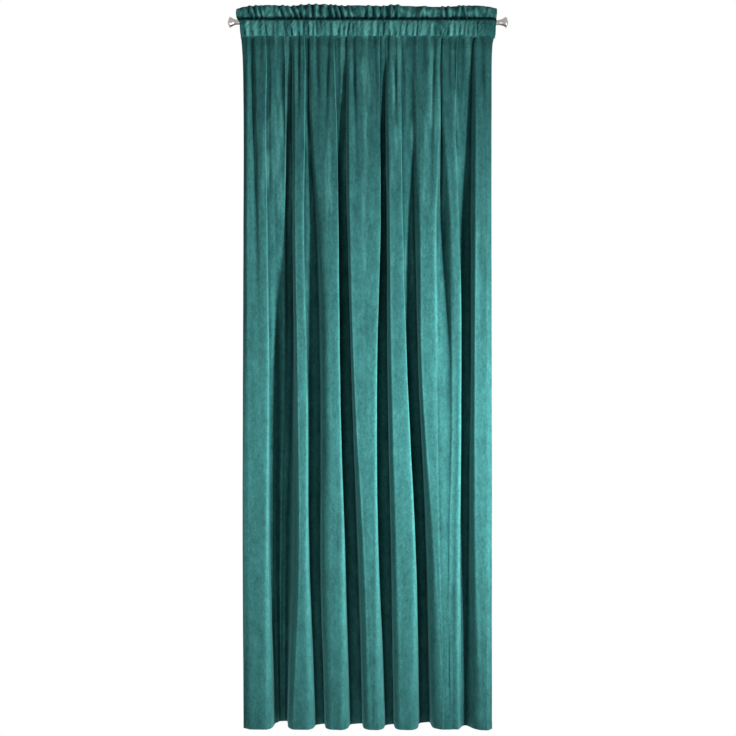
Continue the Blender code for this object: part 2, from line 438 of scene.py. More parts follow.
def add_mesh(name: str, verts: np.ndarray, faces: np.ndarray | list,
             material: bpy.types.Material) -> bpy.types.Object:
    """Add a smooth shaded mesh object.

    Args:
        name: the object's name.
        verts: points, in metres.
        faces: rows of vertex numbers.
        material: its finish.

    Returns:
        The object, linked to the scene.
    """
    mesh = bpy.data.meshes.new(name)
    mesh.from_pydata([tuple(map(float, v)) for v in verts], [], [tuple(map(int, f)) for f in faces])
    mesh.materials.append(material)
    mesh.shade_smooth()
    made = bpy.data.objects.new(name, mesh)
    bpy.context.scene.collection.objects.link(made)
    return made


def grid_faces(rows: int, columns: int) -> np.ndarray:
    """Quads of a grid of points stored row by row.

    Args:
        rows: points from the first row to the last.
        columns: points in a row.

    Returns:
        Rows of four vertex numbers.
    """
    j, i = np.mgrid[0:rows - 1, 0:columns - 1]
    a = (j * columns + i).ravel()
    return np.stack([a, a + 1, a + columns + 1, a + columns], axis=1)


def grain(x: float, y: float, z: float) -> float:
    """Smooth noise at a point, between about -1 and 1."""
    return noise.noise(Vector((x, y, z)))


def hermite(t: Values, start: Values, end: Values, slope_in: Values, slope_out: Values) -> Values:
    """Cubic from start to end with the slopes given, at t from 0 to 1."""
    return ((2 * t ** 3 - 3 * t ** 2 + 1) * start + (t ** 3 - 2 * t ** 2 + t) * slope_in
            + (3 * t ** 2 - 2 * t ** 3) * end + (t ** 3 - t ** 2) * slope_out)


def smooth_through(xs: Values, ys: Values, wanted: Values) -> np.ndarray:
    """Cubic through points, with Catmull-Rom slopes.

    Args:
        xs: increasing places of the points.
        ys: values there.
        wanted: places to read.

    Returns:
        The values at the wanted places.
    """
    xs, ys = np.asarray(xs, float), np.asarray(ys, float)
    wanted = np.clip(np.asarray(wanted, float), xs[0], xs[-1])
    i = np.clip(np.searchsorted(xs, wanted, side="right") - 1, 0, len(xs) - 2)
    t = (wanted - xs[i]) / (xs[i + 1] - xs[i])
    before, after = np.maximum(i - 1, 0), np.minimum(i + 2, len(xs) - 1)
    slope_in = (ys[i + 1] - ys[before]) / 2
    slope_out = (ys[after] - ys[i]) / 2
    return hermite(t, ys[i], ys[i + 1], slope_in, slope_out)


def eased_through(xs: Values, ys: Values, wanted: Values) -> np.ndarray:
    """Cubic through points that never goes past them: flat at every high and low point.

    Args:
        xs: increasing places of the points.
        ys: values there.
        wanted: places to read.

    Returns:
        The values at the wanted places.
    """
    xs, ys, wanted = (np.asarray(part, float) for part in (xs, ys, wanted))
    gap, rise = np.diff(xs), np.diff(ys) / np.diff(xs)
    slope = np.zeros(len(xs))
    same = rise[1:] * rise[:-1] > 0
    before, after = 2 * gap[1:] + gap[:-1], gap[1:] + 2 * gap[:-1]
    parts = before / np.where(same, rise[:-1], 1.0) + after / np.where(same, rise[1:], 1.0)
    slope[1:-1] = np.where(same, (before + after) / np.where(same, parts, 1.0), 0.0)
    slope[0], slope[-1] = rise[0], rise[-1]
    i = np.clip(np.searchsorted(xs, wanted, side="right") - 1, 0, len(xs) - 2)
    t = (wanted - xs[i]) / gap[i]
    return hermite(t, ys[i], ys[i + 1], gap[i] * slope[i], gap[i] * slope[i + 1])


def fade(t: Values) -> np.ndarray:
    """1 at t = 0, falling smoothly to 0 at t = 1."""
    t = np.clip(t, 0.0, 1.0)
    return 1 - t * t * (3 - 2 * t)


# The folds

LOWER_SEAM_Z = -0.0455

# Heights at which the folds are placed, from the heading to the hem, and how far in front of the
# rod's axis the foremost cloth hangs at each   (m, mm)
LEVELS = (-0.130, -0.370, -0.730, -1.245, -1.865, -2.4355)
FRONT = (13, 17, 25, 38, 44, 46)

# One row per fold, left to right, with the valley on its right. At each of the LEVELS: where its
# face begins and ends, how far the face hangs behind the foremost cloth, where the valley runs and
# how deep it is. Then how gently its left side rises and its right side falls.
# name, left, right, crest, valley, depth, soft, ease   (mm)
FOLDS = (
    ("a", (-412, -415, -413, -411, -405, -400), (-352, -354, -347, -341, -341, -328),
     (3, 3, 3, 6, 8, 12), (-340, -340, -334, -328, -325, -314), (10, 12, 26, 72, 84, 88), 10, 6),
    ("under_a", (-325, -325, -320, -312, -312, -308), (-286, -286, -290, -292, -302, -303),
     (6, 8, 30, 82, 92, 95), (-266, -268, -265, -270, -286, -288), (27, 33, 64, 93, 98, 98), 8, 8),
    ("b", (-250, -250, -250, -242, -236, -254), (-218, -220, -221, -208, -203, -187),
     (3, 3, 3, 6, 8, 12), (-206, -203, -184, -170, -170, -154), (21, 25, 42, 66, 70, 70), 8, 6),
    ("c", (-174, -165, -142, -129, -126, -122), (-117, -109, -101, -96, -79, -68),
     (3, 3, 3, 6, 8, 10), (-76, -77, -72, -58, -40, -22), (20, 36, 62, 74, 76, 75), 26, 6),
    ("d", (-60, -63, -60, -46, -12, 6), (38, 41, 43, 30, 37, 55),
     (2, 2, 2, 5, 8, 9), (57, 60, 65, 67, 78, 88), (18, 36, 58, 70, 70, 68), 9, 6),
    ("e", (79, 77, 76, 83, 100, 114), (113, 113, 121, 137, 165, 173),
     (2, 2, 2, 5, 8, 9), (155, 152, 160, 177, 202, 212), (13, 16, 44, 66, 86, 87), 12, 8),
    ("f", (182, 183, 184, 188, 231, 252), (240, 244, 232, 238, 248, 262),
     (2, 2, 3, 6, 8, 12), (252, 256, 258, 280, 276, 282), (20, 28, 34, 14, 10, 13), 13, 12),
    ("f_right", (270, 270, 290, 304, 293, 295), (306, 301, 318, 320, 318, 319),
     (3, 3, 3, 6, 9, 13), (360, 356, 356, 356, 346, 338), (26, 34, 56, 60, 56, 54), 12, 6),
    ("g", (376, 374, 371, 366, 371, 388), (404, 405, 406, 406, 407, 408),
     (2, 2, 2, 3, 4, 6), (), (), 8, 0),
)
# The two selvedges: where they hang and how far back   (mm)
LEFT_EDGE = ((-432, -431, -430, -430, -430, -429), (16, 18, 18, 14, 14, 28))
RIGHT_EDGE = ((427, 426, 425, 425, 425, 426), (6, 5, 6, 8, 11, 22))
# How much longer the rising side of a fold gets towards the hem
SIDE_GROWTH = (1.0, 1.0, 1.0, 1.0, 1.7, 2.6)
# The most of its room that a side or a brow takes up, and how far down its rise a side is sharpest
SIDE_LIMIT, BROW_LIMIT, SIDE_SHARE = 0.72, 0.45, 0.28
SHOULDER_DROP = 1.5
# Depth of a fold's foot: its least share of the drop, what a deep fold adds, and how deep that is
FOOT_SHARE, FOOT_ADDED, DEEP_FOLD = 0.50, 0.35, 70.0
# The deeper a valley, the further the falling side of a fold tucks in under its edge
TUCK_UNDER = (0.16, 0.16, 0.13, 0.12, 0.08, 0.0)
# How far back that edge is rounded off   (mm)
EDGE_ROUND = (0.0, 0.0, 1.0, 2.0, 8.0, 20.0)

# Share of their depth that the folds keep at the lower seam, and how far below it they are whole
SEAM_SHARE, SEAM_REACH = 0.40, 0.16
# How far the left and the right edge stand out at the seam, and how far below it that dies out
LEFT_FLARE, RIGHT_FLARE = (-0.009, 0.045), (0.013, 0.022)

# One row per small gather below the heading: where it starts, where it dies out, how deep and how
# wide it is, and how far down it reaches.
# at, to, back, half_width, reach   (mm)
GATHERS = (
    (-424, -420, 7, 6, 120),
    (-404, -374, 15, 8, 1150),
    (-371, -371, 8, 6, 150),
    (-299, -285, 10, 10, 950),
    (-240, -240, 11, 5, 330),
    (-178, -170, 10, 7, 340),
    (-137, -150, 11, 6, 420),
    (-104, -103, 11, 5, 330),
    (-52, -38, 11, 5, 560),
    (-17, -14, 8, 6, 180),
    (20, 27, 10, 6, 360),
    (69, 65, 9, 5, 180),
    (94, 96, 11, 5, 420),
    (117, 123, 11, 7, 460),
    (192, 192, 7, 8, 180),
    (228, 214, 11, 5, 640),
    (278, 282, 10, 5, 270),
    (298, 302, 11, 5, 230),
    (326, 322, 9, 6, 330),
    (395, 405, 6, 9, 400),
)

# The heading, one row per line along it: up the front, over the top and down the back, with
# where its two ends are.
# z, y, left, right   (mm)
HEADING = (
    (-45.5, -2.0, -440, 440),
    (-41.0, -8.5, -440, 440),
    (-34.0, -14.0, -441, 440),
    (-24.0, -18.0, -441, 440),
    (-12.0, -20.0, -442, 441),
    (-3.0, -19.5, -443, 442),
    (4.0, -16.0, -445, 443),
    (8.5, -8.0, -447, 443),
    (10.5, -2.2, -449, 444),
    (13.5, 0.0, -452, 444),
    (22.0, -1.2, -455, 445),
    (42.0, -6.6, -457, 446),
    (58.0, -4.2, -456, 446),
    (64.0, 0.0, -455, 445),
    (58.0, 3.4, -456, 446),
    (42.0, 4.2, -457, 446),
    (22.0, 3.6, -455, 445),
    (10.5, 2.2, -449, 444),
    (4.0, 11.0, -444, 442),
    (-11.0, 12.0, -442, 441),
    (-30.0, 8.0, -441, 440),
    (-45.5, 2.2, -441, 440),
    (-53.0, 2.6, -440, 439),
)
# Lines of the table above: the upper seam in front, the top edge, the upper seam behind
UPPER_SEAM_LINE, TOP_LINE, BACK_SEAM_LINE = 8, 13, 17
SEAM_HEIGHTS = (-45.5, 10.5, 64.0)
# Heights over which the tucks of the pocket and the top edge of the frill take shape   (mm)
POCKET_HEIGHT, FRILL_HEIGHT = 60.0, 50.0

# One row per pleat of the frill: where it stands at the seam and at the top edge, how far it
# stands out and its half width.
# seam, top, out, half_width   (mm)
FRILL_PLEATS = (
    (-424, -434, 4, 9), (-393, -410, 12, 7), (-376, -388, 12, 6), (-361, -371, 6, 5),
    (-350, -354, 5, 10), (-318, -322, 2, 14), (-282, -295, 12, 6), (-258, -278, 12, 6),
    (-237, -258, 12, 6), (-222, -232, 12, 5), (-201, -204, 12, 6), (-179, -180, 12, 6),
    (-151, -152, 12, 9), (-118, -129, 12, 5), (-96, -112, 12, 5), (-79, -91, 12, 5),
    (-55, -69, 12, 6), (-24, -28, 3, 18), (3, 1, 12, 6), (31, 29, 12, 7), (56, 54, 12, 5),
    (80, 79, 12, 6), (105, 103, 12, 6), (139, 139, 3, 18), (175, 195, 12, 9), (233, 233, 2, 10),
    (259, 257, 12, 5), (278, 278, 12, 6), (312, 316, 12, 6), (342, 330, 12, 5), (362, 350, 4, 6),
    (405, 400, 5, 28),
)

# One row per tuck of the pocket, rising from the lower seam: where it stands at the seam and at
# the top of the pocket, how deep and how wide it is, and how far up it reaches.
# seam, top, back, half_width, reach   (mm)
POCKET_TUCKS = (
    (-429, -420, 8, 6, 20), (-400, -409, 8, 7, 22), (-376, -367, 8, 6, 20), (-350, -358, 5, 4, 60),
    (-330, -322, 6, 5, 60), (-312, -320, 4, 3, 40), (-283, -290, 5, 7, 60), (-263, -268, 9, 5, 34),
    (-240, -240, 10, 6, 20), (-222, -222, 5, 4, 60), (-209, -202, 8, 4, 40), (-192, -186, 4, 3, 60),
    (-176, -181, 4, 3, 60), (-160, -166, 5, 4, 60), (-147, -152, 4, 3, 60), (-131, -128, 8, 6, 50),
    (-105, -92, 8, 4, 50), (-87, -79, 8, 4, 50), (-72, -62, 8, 4, 50), (-53, -50, 8, 5, 50),
    (-38, -42, 3, 7, 60), (-20, -27, 4, 3, 60), (14, 10, 5, 4, 60), (34, 32, 5, 3, 60),
    (52, 56, 9, 4, 50), (75, 69, 8, 5, 24), (95, 86, 8, 5, 30), (107, 117, 5, 3, 60),
    (127, 138, 6, 4, 60), (151, 163, 6, 5, 50), (168, 170, 5, 4, 60), (206, 217, 6, 4, 60),
    (230, 227, 9, 6, 40), (250, 247, 8, 5, 22), (273, 280, 8, 4, 50), (294, 301, 7, 4, 50),
    (312, 323, 4, 3, 60), (326, 340, 6, 3, 60), (340, 349, 5, 3, 60), (362, 364, 9, 5, 50),
    (378, 374, 3, 4, 60),
)

# Top edge of the frill: place along the rod and height   (mm)
FRILL_EDGE = (
    (-457, 50), (-440, 54), (-419, 58), (-378, 61), (-343, 63), (-292, 61), (-271, 59),
    (-223, 64), (-165, 65), (-103, 62), (-89, 60), (-45, 62), (-3, 61), (52, 59), (93, 64),
    (120, 60), (161, 59), (223, 57), (264, 57), (319, 60), (367, 61), (419, 57), (445, 52),
)


def opening(below: float) -> float:
    """Share of their depth that the folds have, so many metres below the lower seam."""
    return SEAM_SHARE + (1 - SEAM_SHARE) * (1 - float(fade(below / SEAM_REACH)))


@dataclass(frozen=True)
class Fold:
    """One fold and the valley on its right, each column with a value per level, in mm."""

    name: str
    left: tuple
    right: tuple
    crest: tuple
    valley: tuple
    depth: tuple
    soft: float
    ease: float

    def lines(self, before: "Fold | None") -> list[tuple[np.ndarray, np.ndarray]]:
        """Lines down the cloth that shape the fold.

        Args:
            before: the fold on its left, if there is one.

        Returns:
            Where each line runs along the rod and how far back, at each level.
        """
        left, right, crest = (np.array(part, float) for part in (self.left, self.right, self.crest))
        made = []
        if before is not None:
            run = np.minimum(self.soft * np.array(SIDE_GROWTH),
                             SIDE_LIMIT * (left - before.valley))
            made.append((left - run, crest + SIDE_SHARE * (np.array(before.depth) - crest)))
        drop = np.array(self.depth) - crest if self.valley else np.zeros(len(LEVELS))
        rounding = np.minimum(EDGE_ROUND, 0.3 * drop)
        brow = right - np.minimum(2.0 + 1.1 * rounding, BROW_LIMIT * (right - left))
        made += [(left, crest + SHOULDER_DROP), (brow, crest)]
        made.append((right - 0.1 * rounding, crest + 0.9 * rounding))
        if self.valley:
            share = FOOT_SHARE + FOOT_ADDED * np.clip(drop / DEEP_FOLD, 0.0, 1.0)
            made.append((right + self.ease - np.array(TUCK_UNDER) * drop, crest + share * drop))
            made.append((np.array(self.valley, float), np.array(self.depth, float)))
        return made


@dataclass
class FoldPlan:
    """Plan of the hanging cloth at any height."""

    columns: int = 470
    gathers: np.ndarray = field(default_factory=lambda: np.array(GATHERS, float))
    along: np.ndarray = field(init=False)
    behind: np.ndarray = field(init=False)
    shares: np.ndarray = field(init=False)

    def __post_init__(self) -> None:
        """Set out the lines, and share the columns between them by the most cloth they hold."""
        folds = [Fold(*row) for row in FOLDS]
        lines = [LEFT_EDGE]
        for before, fold in zip([None, *folds], folds):
            lines += fold.lines(before)
        lines.append(RIGHT_EDGE)
        self.along, self.behind = (np.array([line[k] for line in lines], float) for k in range(2))
        gaps = np.hypot(np.diff(self.along, axis=0), np.diff(self.behind, axis=0)).max(axis=1)
        gaps = gaps + 4.0
        counts = np.maximum(np.round(gaps / gaps.sum() * (self.columns - 1)), 3).astype(int)
        self.shares = [i + np.arange(n) / n for i, n in enumerate(counts)]
        self.shares = np.concatenate([*self.shares, [len(self.along) - 1.0]])

    def gather_back(self, x: np.ndarray, z: float) -> np.ndarray:
        """How far the gathers set the cloth back.

        Args:
            x: places along the rod.
            z: height.

        Returns:
            Metres towards the wall at each place.
        """
        below = max(LOWER_SEAM_Z - z, 0.0)
        total = np.zeros_like(x)
        for at, to, back, half, reach in self.gathers:
            way = min(below / (reach * MM), 1.0)
            line = (at + (to - at) * way) * MM
            total += back * MM * float(fade(way)) * np.exp(-((x - line) / (half * MM)) ** 2)
        return total * opening(below)

    def section(self, z: float) -> np.ndarray:
        """Plan of the cloth at a height.

        Args:
            z: height.

        Returns:
            One point (x, y) per column, from the left edge to the right.
        """
        depths = [-level for level in LEVELS]
        x = np.array([float(smooth_through(depths, row, -z)) for row in self.along]) * MM
        y = np.array([float(smooth_through(depths, row, -z)) for row in self.behind]) * MM
        below = max(LOWER_SEAM_Z - z, 0.0)
        y = y * opening(below)
        flare_left, flare_right = (out * math.exp(-below / reach)
                                   for out, reach in (LEFT_FLARE, RIGHT_FLARE))
        span = (x - x[0]) / (x[-1] - x[0])
        x = x + flare_left * (1 - span) ** 3 + flare_right * span ** 3
        y = y - float(smooth_through(depths, FRONT, -z)) * MM * (0.15 + 0.85 * (
            1 - float(fade((below + 0.004) / 0.06))))
        run = np.concatenate([[0.0], np.cumsum(np.hypot(np.diff(x), np.diff(y)))])
        wanted = np.interp(self.shares, np.arange(len(run)), run)
        plan = np.column_stack([eased_through(run, x, wanted), eased_through(run, y, wanted)])
        plan[:, 1] += self.gather_back(plan[:, 0], z)
        return plan


# The velvet

@dataclass
class VelvetPanel:
    """One length of velvet: the hanging body, the rod pocket and the frill, hemmed all round."""

    plan: FoldPlan
    finish: VelvetFinish
    node: str = "velvet_drape"
    body_rows: int = 100
    heading_rows: int = 96
    cut_width: float = 1.44
    cut_length: float = 2.68
    hem_turn: float = 0.026
    side_turn: float = 0.018
    layer_gap: float = 0.0014
    dented_width: float = 1.40
    # Painted shade: how much darker the pile is drawn at the hem, under the heading and in the
    # groove above the pocket
    painted_shade_bands: tuple = (0.22, 0.24, 0.85)
    grid: np.ndarray = field(init=False)
    seam_row: int = field(init=False)

    def body_heights(self) -> np.ndarray:
        """Heights of the rows from the hem up to the lower seam, closer together at the top."""
        t = np.linspace(0.0, 1.0, self.body_rows)
        hem = LEVELS[-1]
        return hem + (LOWER_SEAM_Z - hem) * (1.55 * t - 0.55 * t ** 2.2)

    def body(self) -> np.ndarray:
        """Build the hanging part of the cloth.

        Returns:
            Rows of points from the hem to the lower seam.
        """
        rows = []
        for z in self.body_heights():
            plan = self.plan.section(z)
            rows.append(np.column_stack([plan, np.full(len(plan), z)]))
        return np.array(rows)

    def heading_lines(self) -> tuple[np.ndarray, np.ndarray]:
        """Set out the lines along the heading, closer together in front than behind.

        Returns:
            The place of each line in the HEADING table, and the table's values there.
        """
        table = np.array(HEADING, float)
        at = np.arange(len(table), dtype=float)
        run = np.concatenate([[0.0], np.cumsum(np.hypot(*np.diff(table[:, :2], axis=0).T))])
        weight = np.interp(at, (0, TOP_LINE, TOP_LINE + 0.01, at[-1]), (1.0, 1.0, 0.42, 0.42))
        steps = np.diff(run) * (weight[1:] + weight[:-1]) / 2
        run = np.concatenate([[0.0], np.cumsum(steps)])
        places = np.interp(np.linspace(0, run[-1], self.heading_rows + 1)[1:], run, at)
        lines = np.array([eased_through(at, table[:, k], places) for k in range(4)]).T
        return places, lines

    @staticmethod
    def pleats(x: np.ndarray, way: float, table: tuple, narrow: float) -> np.ndarray:
        """How far the pleats of the frill stand out.

        Args:
            x: places along the rod, in mm.
            way: 0 at the seam, 1 at the top edge.
            table: rows of seam, top, out and half width.
            narrow: width of a pleat at the seam, against its full width.

        Returns:
            Millimetres towards the front.
        """
        total = np.zeros_like(x)
        grown = narrow + (1 - narrow) * (1 - float(fade(way / 0.35)))
        for seam, top, out, half in table:
            line = seam + (top - seam) * way
            total = np.maximum(total, out * np.exp(-np.abs((x - line) / (half * grown)) ** 2.4))
        return total

    @staticmethod
    def tucks(x: np.ndarray, rise: float, table: tuple) -> np.ndarray:
        """How far the tucks of the pocket go in.

        Args:
            x: places along the rod, in mm.
            rise: height above the lower seam, in mm.
            table: rows of seam, top, back, half width and reach.

        Returns:
            Millimetres towards the back.
        """
        total = np.zeros_like(x)
        for seam, top, back, half, reach in table:
            line = seam + (top - seam) * rise / POCKET_HEIGHT
            width = half * (0.55 + 0.75 * rise / POCKET_HEIGHT)
            pinch = 0.85 + 0.75 * math.exp(-(rise / 12.0) ** 2)
            held = float(fade((rise / reach) ** 1.6)) * pinch
            total = np.maximum(total, back * held * np.exp(-((x - line) / width) ** 2))
        return total

    def heading(self, seam: np.ndarray) -> np.ndarray:
        """Rows of points above the lower seam: pocket, frill, and the layer behind.

        Args:
            seam: the row of points on the lower seam.

        Returns:
            Points in rows.
        """
        across = (seam[:, 0] - seam[0, 0]) / (seam[-1, 0] - seam[0, 0])
        even = np.linspace(0.0, 1.0, len(across))
        sway = seam[:, 1] / MM
        edge_at, edge_top = np.array(FRILL_EDGE, float).T
        low, middle, high = SEAM_HEIGHTS
        rows = []
        for place, (z, y, left, right) in zip(*self.heading_lines()):
            loose = 0.85 * (1 - float(fade(place / UPPER_SEAM_LINE)))
            x = left + (right - left) * (across + (even - across) * loose)
            out = np.zeros_like(x)
            if place <= UPPER_SEAM_LINE:
                free = math.sin(math.pi * place / UPPER_SEAM_LINE) ** 0.5
                out = -self.tucks(x, z - low, POCKET_TUCKS) * (0.35 + 0.65 * free)
                out += self.crinkle(x, z, 1.9) * free
                out -= sway * float(fade(place / 1.5))
            elif place <= BACK_SEAM_LINE:
                way = min(max((z - middle) / (high - middle), 0.0), 1.0)
                front = 1.0 if place < TOP_LINE else 0.7
                tall = 1.0 - 0.55 * way ** 3
                out = (self.pleats(x, way, FRILL_PLEATS, 0.50) * 1.2 * tall - 3.5) * front
                out += self.crinkle(x, z, 1.3) * way
            else:
                out -= sway * float(fade((z - low) / 34.0))
            near = float(fade(abs(z - middle) / 5.0))
            gather = self.pleats(x, 0.0, FRILL_PLEATS, 0.7) - 3.5
            out = out * (1 - near * 0.6) + gather * near * 0.45 * (place <= BACK_SEAM_LINE)
            top = smooth_through(edge_at, edge_top, x)
            lift = np.clip((z - middle) / FRILL_HEIGHT, 0.0, 1.0) * (top - high)
            lift = lift - 0.12 * (3.0 - out) * max(z - middle, 0.0) / FRILL_HEIGHT
            hangs = [grain(at * 0.055, 7.7, 1.3) for at in x]
            droop = np.clip(2.6 + 8.0 * np.array(hangs), 0.0, 7.0)
            lift = lift - droop * max(1.0 - abs(z + 39.0) / 14.0, 0.0) * (place < TOP_LINE)
            rows.append(np.column_stack([x, y - out, np.full(len(x), z) + lift]) * MM)
        return np.array(rows)

    def brushed_and_highlit(self, grid: np.ndarray) -> np.ndarray:
        """How far hands and gathering have brushed the pile open, plus painted highlight, 0 to 1
        per point.

        Between two tucks of the pocket the cloth is puffed up, widest at the top, and each puff is
        drawn paler as a painted highlight. Below the heading the brushed places are streaks that
        die out downwards.

        Args:
            grid: points in rows.

        Returns:
            A share per point.
        """
        low, middle, _ = SEAM_HEIGHTS
        tucks = sorted(((row[0] + row[1]) / 2, row[2]) for row in POCKET_TUCKS)
        total = np.zeros(grid.shape[:2])
        for j in range(self.seam_row + 1):
            streaks = [grain(x * 42.0, z * 2.6, 8.3)
                       + 0.7 * grain(x * 95.0, z * 9.0, 2.2)
                       for x, _, z in grid[j]]
            reach = float(fade(-grid[j, 0, 2] / 1.5))
            total[j] = np.clip(0.7 * np.array(streaks) - 0.17, 0.0, 0.40) * reach
        for j in range(self.seam_row + 1, grid.shape[0]):
            x, z = grid[j, :, 0] / MM, grid[j, :, 2] / MM
            rise = np.clip((z - low) / (middle - low), 0.0, 1.0)
            # Painted highlight: each puff between two tucks is drawn paler
            for (here, _), (there, _) in zip(tucks, tucks[1:]):
                centre, gap = (here + there) / 2, (there - here) / 2
                puff_highlight = 0.44 + 0.95 * grain(centre * 0.31, 4.2, 0.7)
                shape = np.exp(-np.abs((x - centre) / (gap * (0.45 + 0.5 * rise))) ** 3)
                total[j] = np.maximum(total[j], max(puff_highlight, 0.0) * shape)
            total[j] *= np.where(z < middle - 8.0, 1.0, 0.0)
            spots = np.array([grain(a * 0.11, b * 0.05, 6.6) for a, b in zip(x, z)])
            frill = np.where(z > middle + 8.0, np.clip(0.15 + 0.9 * spots, 0.0, 0.7), 0.0)
            total[j] = np.maximum(total[j], frill)
        return np.clip(total, 0.0, 1.0)

    @staticmethod
    def crinkle(x: np.ndarray, z: float, size: float) -> np.ndarray:
        """Small irregular creases of gathered cloth, in mm, at places x and height z in mm."""
        made = [grain(place * 0.07 + z * 0.025, z * 0.028, 5.3) for place in x]
        fine = [grain(place * 0.15 - z * 0.06, z * 0.05, 1.9) for place in x]
        return (np.array(made) + 0.6 * np.array(fine)) * size * 1.8

    @staticmethod
    def wrong_side(grid: np.ndarray) -> np.ndarray:
        """Unit normals of a grid of points, pointing to the woven back of the cloth.

        Args:
            grid: points in rows.

        Returns:
            A normal per point.
        """
        along = np.gradient(grid, axis=1)
        up = np.gradient(grid, axis=0)
        normal = np.cross(up, along)
        return normal / np.maximum(np.linalg.norm(normal, axis=2, keepdims=True), 1e-12)

    def hemmed(self, grid: np.ndarray) -> np.ndarray:
        """Add the turned hems at the sides and at the bottom.

        Args:
            grid: points in rows, without hems.

        Returns:
            The grid with the turned cloth as more columns and rows.
        """
        back = self.wrong_side(grid)
        sides = []
        for order in (slice(None), slice(None, None, -1)):
            cloth, normal = grid[:, order], back[:, order]
            run = np.linalg.norm(np.diff(cloth, axis=1), axis=2)
            run = np.concatenate([np.zeros((len(run), 1)), np.cumsum(run, axis=1)], axis=1)
            turned = []
            for inward in (self.side_turn, self.side_turn * 0.5, 0.003):
                k = np.argmax(run > inward, axis=1)
                rows = np.arange(len(k))
                t = ((inward - run[rows, k - 1]) / (run[rows, k] - run[rows, k - 1]))[:, None]
                place = cloth[rows, k - 1] * (1 - t) + cloth[rows, k] * t
                turned.append(place + normal[rows, k] * self.layer_gap)
            inwards = cloth[:, 1] - cloth[:, 0]
            inwards /= np.maximum(np.linalg.norm(inwards, axis=1, keepdims=True), 1e-9)
            turned.append(cloth[:, 0] + normal[:, 0] * self.layer_gap * 0.5 - inwards * 0.0007)
            sides.append(np.stack(turned, axis=1))
        wide = np.concatenate([sides[0], grid, sides[1][:, ::-1]], axis=1)
        back = self.wrong_side(wide)
        rows = []
        for rise in (self.hem_turn, self.hem_turn * 0.5, 0.002):
            row = wide[0] + (wide[1] - wide[0]) * (rise / (wide[1, 0, 2] - wide[0, 0, 2]))
            rows.append(row + back[0] * self.layer_gap)
        rows.append(wide[0] + back[0] * self.layer_gap * 0.5 - np.array([0, 0, 0.0007]))
        return np.concatenate([np.array(rows), wide], axis=0)

    @staticmethod
    def dent(run: float, z: float) -> float:
        """Depth of the dents, in metres, so far across the cloth and at height z."""
        slow = grain(run * 9.0, z * 2.2, 3.7)
        quick = grain(run * 34.0, z * 7.0, 9.1)
        return slow * 0.0020 + quick * 0.0008

    def crumple(self, grid: np.ndarray) -> np.ndarray:
        """Press soft uneven dents into the cloth.

        Args:
            grid: points in rows.

        Returns:
            The grid, moved a little along its normals.
        """
        cloth = np.linspace(0.0, self.dented_width, grid.shape[1])
        depth = np.array([[self.dent(run, z) for run, z in zip(cloth, line[:, 2])]
                          for line in grid])
        calm = 1 - fade((LOWER_SEAM_Z - grid[:, :, 2]) / 0.15)
        return grid + self.wrong_side(grid) * (depth * calm)[:, :, None]

    def pile_open_and_painted_light(self, grid: np.ndarray) -> np.ndarray:
        """How far the bend of the cloth opens its pile, with painted highlight and shade, 0 to 1
        per point.

        Args:
            grid: points in rows.

        Returns:
            0.5 where the cloth is flat, more over a crest and less in a hollow, which is partly the
            pile opening and partly painted highlight and painted shade, and a little less again as
            painted shade near the hem, under the heading and in the groove between the pocket and
            the frill.
        """
        back = self.wrong_side(grid)
        bend = np.zeros(grid.shape[:2])
        for axis, reach in ((1, 1), (1, 3), (0, 1)):
            ahead = np.roll(grid, -reach, axis=axis) - grid
            behind = np.roll(grid, reach, axis=axis) - grid
            far = np.maximum(np.linalg.norm(ahead, axis=2, keepdims=True), 1e-5)
            near = np.maximum(np.linalg.norm(behind, axis=2, keepdims=True), 1e-5)
            turn = 2 * (ahead / far + behind / near) / (far + near)
            part = np.einsum("jik,jik->ji", turn, back)
            if axis == 0:
                part[0] = part[-1] = 0
            bend += np.clip(part, -120, 120)
        bend[:, :4] = 0
        bend[:, -4:] = 0
        soft = np.array([1, 2, 3, 2, 1]) / 9
        for _ in range(2):
            bend = np.apply_along_axis(np.convolve, 1, bend, soft, "same")
        height = grid[:, :, 2]
        # Painted shade: darker towards the hem, under the heading and in the groove above the
        # pocket
        at_hem, under_heading, in_groove = self.painted_shade_bands
        unshaded = 1 - at_hem * fade((height - LEVELS[-1]) / 0.35)
        unshaded -= under_heading * fade(-height / 1.3)
        unshaded *= 1 - in_groove * np.exp(-((height / MM - SEAM_HEIGHTS[1]) / 8.5) ** 2)
        return np.clip((0.5 + bend * self.finish.bend_gain) * unshaded, 0.0, 1.0)

    def stitch_lines(self) -> list[np.ndarray]:
        """Lines that the stitches follow, just proud of the pile side of the cloth.

        Returns:
            The lower seam, the upper seam, the hem and the two side hems.
        """
        surface = self.grid - self.wrong_side(self.grid) * 0.0003
        seam = surface[self.seam_row]
        upper = self.grid[self.seam_row + 1:, :, 2].mean(axis=1)
        top_row = self.seam_row + 1 + int(np.argmax(upper > SEAM_HEIGHTS[1] * MM))
        hem_row = int(np.argmax(self.grid[:, 0, 2] > self.grid[0, 0, 2] + self.hem_turn))
        below, above = surface[hem_row - 1], surface[hem_row]
        share = (self.grid[0, 0, 2] + self.hem_turn - below[0, 2]) / (above[0, 2] - below[0, 2])
        lines = [seam, surface[top_row], below + (above - below) * share]
        body = surface[:self.seam_row + 1]
        for order in (slice(None), slice(None, None, -1)):
            cloth = body[:, order]
            run = np.cumsum(np.linalg.norm(np.diff(cloth, axis=1), axis=2), axis=1)
            place = [np.array([np.interp(self.side_turn, far, row[1:, k]) for k in range(3)])
                     for far, row in zip(run, cloth)]
            lines.append(np.array(place))
        return lines

